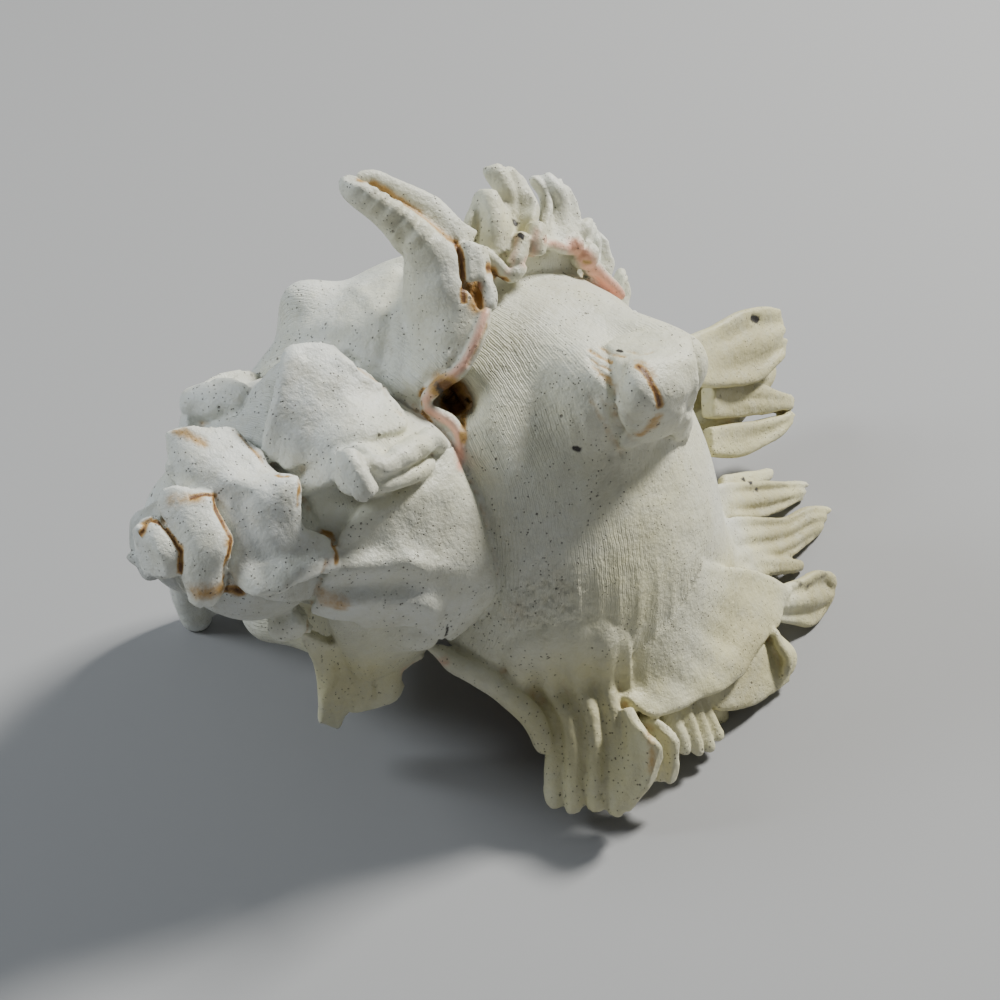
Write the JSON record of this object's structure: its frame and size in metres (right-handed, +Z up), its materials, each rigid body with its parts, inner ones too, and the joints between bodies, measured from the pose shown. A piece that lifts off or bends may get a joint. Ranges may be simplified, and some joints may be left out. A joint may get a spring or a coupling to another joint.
{
  "type": "ramose murex seashell",
  "caption": "Large bleached murex seashell with knobbed whorls, thick ribs of hollow leafy spines, a flared fronded lip and a recurved canal, lying on its aperture side.",
  "frame": {"origin": "centre of the bounding box at the level of the ground the shell stands on", "axes": "+Z is up as the shell rests on its aperture side; +X runs from the apex to the canal; -Y is the side of the flared lip's fronds"},
  "size_m": [0.1911, 0.1178, 0.1212],
  "materials": {
    "shell_chalk": "satin chalk"
  },
  "bodies": {
    "root": {"shell": "shell_chalk"}
  },
  "joints": []
}
